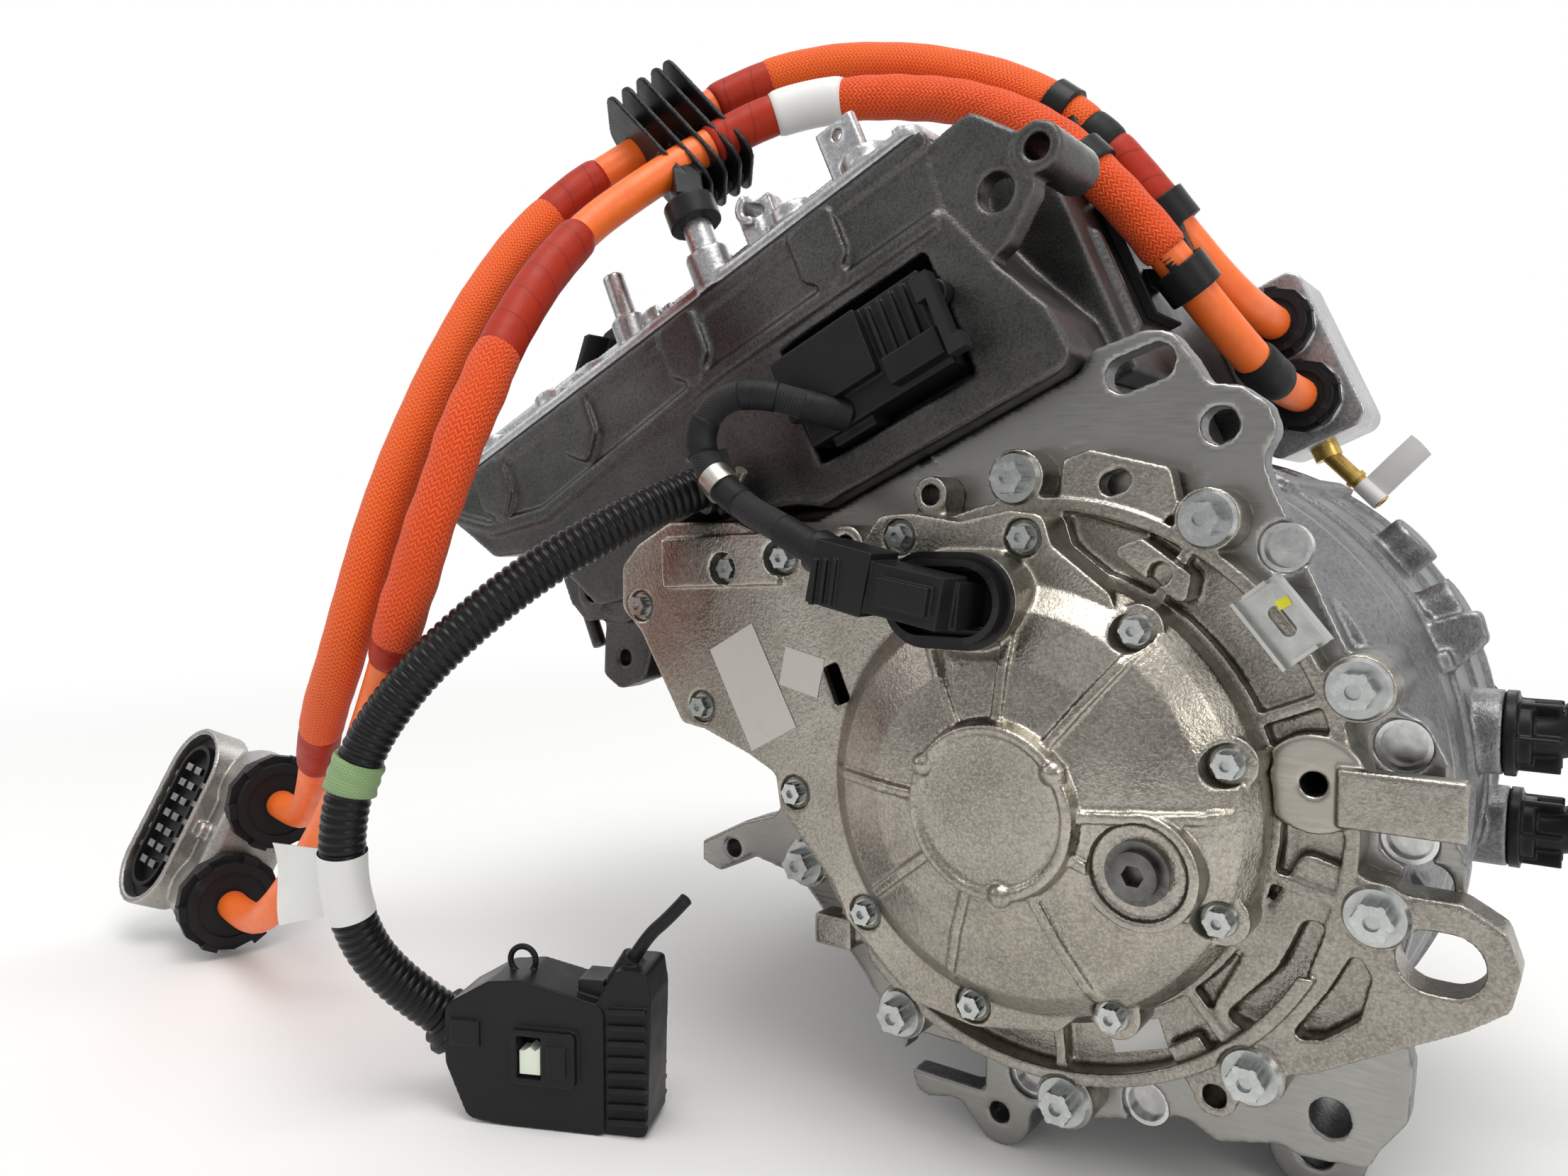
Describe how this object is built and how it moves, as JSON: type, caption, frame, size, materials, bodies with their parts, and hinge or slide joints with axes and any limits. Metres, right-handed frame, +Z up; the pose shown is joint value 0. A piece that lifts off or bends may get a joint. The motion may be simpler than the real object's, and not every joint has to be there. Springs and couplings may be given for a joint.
{
  "type": "electric drive unit",
  "caption": "Electric drive unit: liquid-cooled motor, two-step reduction gear and inverter in cast housings, with high-voltage leads and signal harness.",
  "frame": {"origin": "centre of the underside of the unit without its free leads, on the surface that it stands on", "axes": "+Y along the shaft line from the front cover towards the gear case, +Z up as the unit stands, +X to the coolant side"},
  "size_m": [0.9245, 0.5682, 0.5944],
  "materials": {
    "cast_alu": "sand-cast satin",
    "cast_grey": "rough casting",
    "steel": "zinc plated",
    "gear_steel": "ground",
    "lamination": "stacked sheet",
    "copper": "enamelled copper",
    "brass": "satin",
    "black_plastic": "moulded",
    "gloss_black": "ribbed",
    "orange": "cable jacket",
    "pale_plastic": "moulded",
    "board": "circuit board",
    "seal": "elastomer"
  },
  "bodies": {
    "unit": {"main_housing": "cast_grey", "end_shield": "cast_alu", "brush_cover": "cast_alu", "shield_bolts": "steel", "cover_bolts": "steel", "level_plug": "steel", "cup_plugs": "steel", "channel_clip": "steel", "gearbox_housing": "cast_grey", "gearbox_cover": "cast_grey", "gearbox_bolts": "steel", "stator_core": "lamination", "stator_windings": "copper", "brush_holder": "black_plastic", "rotor_bearings": "gear_steel", "resolver": "lamination", "shaft_seals": "seal", "intermediate_bearings": "gear_steel", "output_bearings": "gear_steel", "inverter_housing": "cast_grey", "inverter_lid": "cast_alu", "lid_gasket": "seal", "lid_screws": "steel", "control_board": "board", "power_module": "black_plastic", "dc_link_capacitor": "black_plastic", "phase_busbars": "copper", "inverter_header": "black_plastic", "inverter_plug": "black_plastic", "hv_port_housing": "cast_alu", "hv_port_nuts": "black_plastic", "hv_lead_outer": "orange", "hv_lead_inner": "orange", "hv_plug_shell": "cast_alu", "hv_plug_contacts": "black_plastic", "hv_plug_nuts": "black_plastic", "cable_clip": "black_plastic", "support_arm": "black_plastic", "cable_guide": "black_plastic", "harness_branch": "black_plastic", "harness_clamp": "steel", "exciter_collar": "black_plastic", "exciter_plug": "black_plastic", "corrugated_conduit": "gloss_black", "lv_connector": "black_plastic", "tail_cable": "black_plastic", "coolant_elbows": "black_plastic", "vent_tube": "brass"},
    "rotor": {"rotor_core": "lamination", "rotor_windings": "copper", "rotor_shaft": "gear_steel", "slip_rings": "copper", "sensor_wheel": "gear_steel"},
    "intermediate": {"intermediate_shaft": "gear_steel"},
    "output": {"final_gear": "gear_steel", "differential_case": "gear_steel", "differential_gears": "gear_steel"},
    "brush_pair": {"brushes": "black_plastic"},
    "lever": {"plug_lever": "black_plastic"},
    "lock_insert": {"lv_connector_lock": "pale_plastic"}
  },
  "joints": [
    {"name": "rotor_spin", "type": "hinge", "parent": "unit", "child": "rotor", "pos_m": [0.10329, -0.055, 0.185], "axis": [0, 1, 0], "continuous": true},
    {"name": "intermediate_spin", "type": "hinge", "parent": "unit", "child": "intermediate", "pos_m": [0.00862, 0.145, 0.23324], "axis": [0, 1, 0], "continuous": true},
    {"name": "output_spin", "type": "hinge", "parent": "unit", "child": "output", "pos_m": [-0.07246, 0.145, 0.12718], "axis": [0, 1, 0], "continuous": true},
    {"name": "brush_wear", "type": "slide", "parent": "unit", "child": "brush_pair", "axis": [-0.2419, 0, 0.9703], "range_m": [0, 0.003]},
    {"name": "plug_lever_turn", "type": "hinge", "parent": "unit", "child": "lever", "pos_m": [0.04894, -0.16, 0.41519], "axis": [0, -1, 0], "range_deg": [0, 75]},
    {"name": "lock_slide", "type": "slide", "parent": "unit", "child": "lock_insert", "axis": [0, 0, 1], "range_m": [0, 0.003]}
  ],
  "couplings": [
    {"joint": "intermediate_spin", "follows": "rotor_spin", "ratio": -0.34921},
    {"joint": "output_spin", "follows": "rotor_spin", "ratio": 0.11466}
  ]
}
